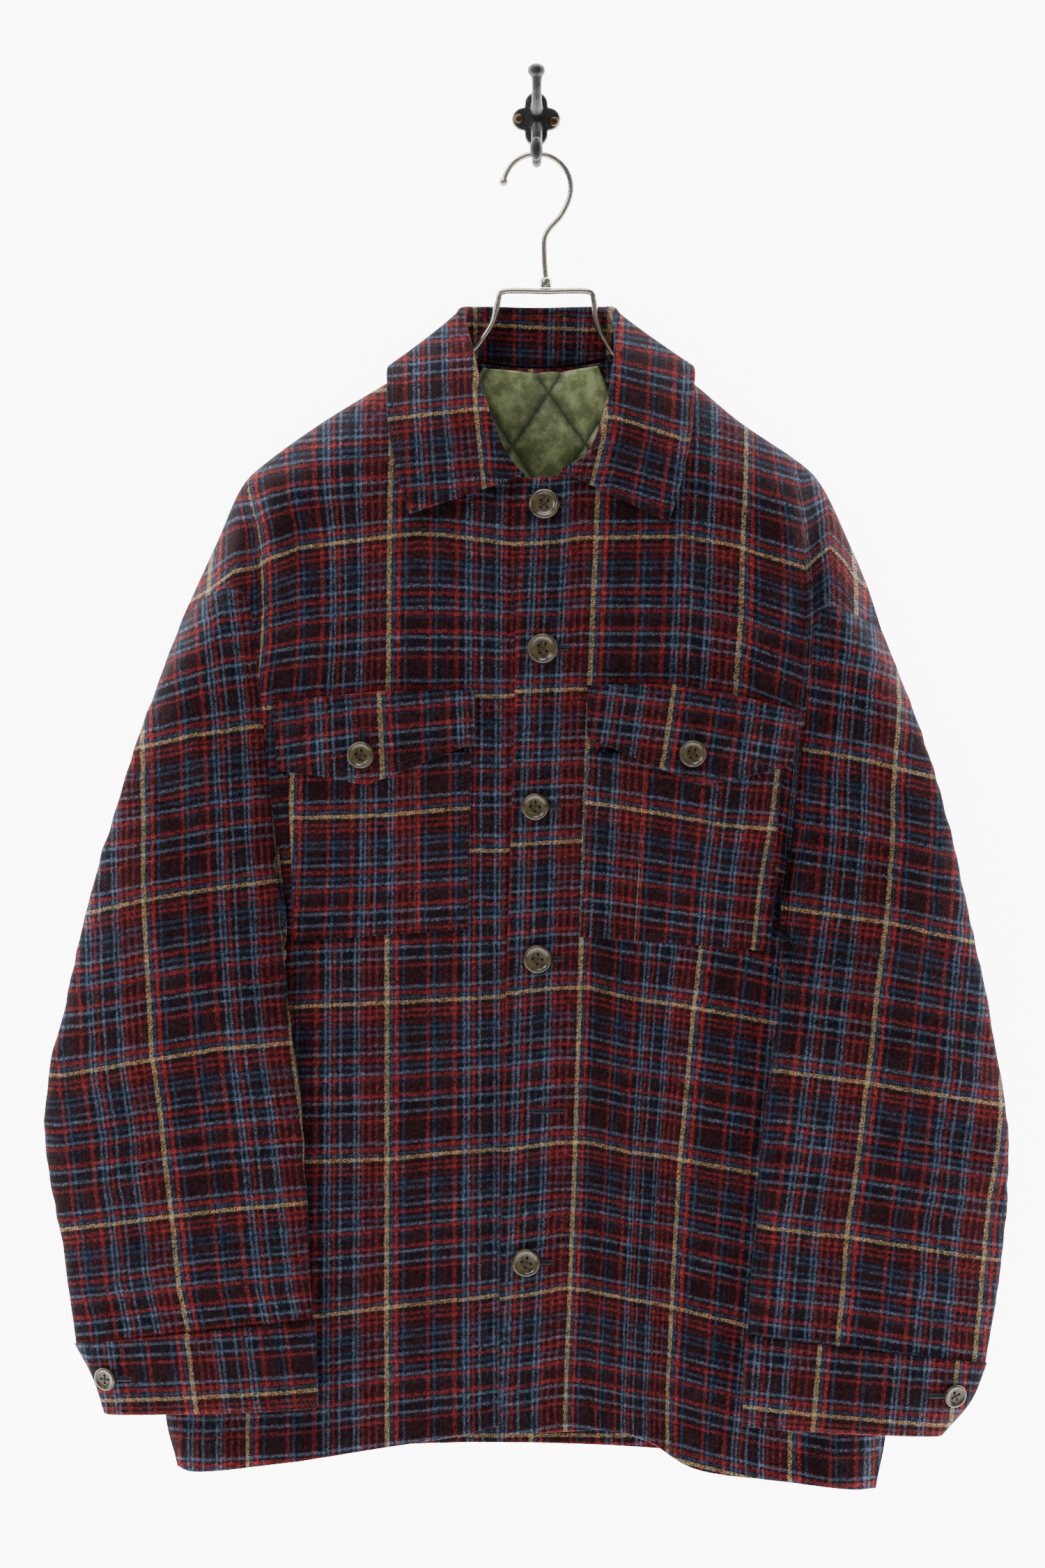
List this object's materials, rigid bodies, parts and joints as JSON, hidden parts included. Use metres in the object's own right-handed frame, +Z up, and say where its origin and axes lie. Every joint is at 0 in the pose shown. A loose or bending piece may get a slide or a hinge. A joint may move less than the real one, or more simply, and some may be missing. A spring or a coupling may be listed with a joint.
{
  "type": "shacket on a hanger and wall hook",
  "caption": "Buttoned wool check shacket with flap chest pockets and quilted lining, on a wire hanger hung from a cast-iron wall hook.",
  "frame": {"origin": "middle of the back face of the wall hook's plate, where it meets the wall", "axes": "+Z up; -Y towards the viewer, the garment's front; +X the viewer's right, the wearer's left"},
  "size_m": [0.6917, 0.1001, 1.0294],
  "materials": {
    "wool": "brushed twill check",
    "lining": "quilted satin",
    "horn": "polished, mottled",
    "wire": "plated",
    "iron": "black, slightly rough",
    "screw": "dulled"
  },
  "bodies": {
    "root": {"back": "wool", "front_right": "wool", "front_left": "wool", "sleeve_right": "wool", "sleeve_left": "wool", "cuff_right": "wool", "cuff_left": "wool", "collar": "wool", "pocket_right": "wool", "pocket_left": "wool", "pocket_flap_right": "wool", "pocket_flap_left": "wool", "lining_back": "lining", "button_front_1": "horn", "button_front_2": "horn", "button_front_3": "horn", "button_front_4": "horn", "button_front_5": "horn", "button_flap_right": "horn", "button_flap_left": "horn", "button_cuff_right": "horn", "button_cuff_left": "horn", "hanger_hook": "wire", "hanger_ferrule": "wire", "hanger_yoke": "wire", "wall_hook": "iron", "hook_screw_a": "screw", "hook_screw_b": "screw"}
  },
  "joints": []
}
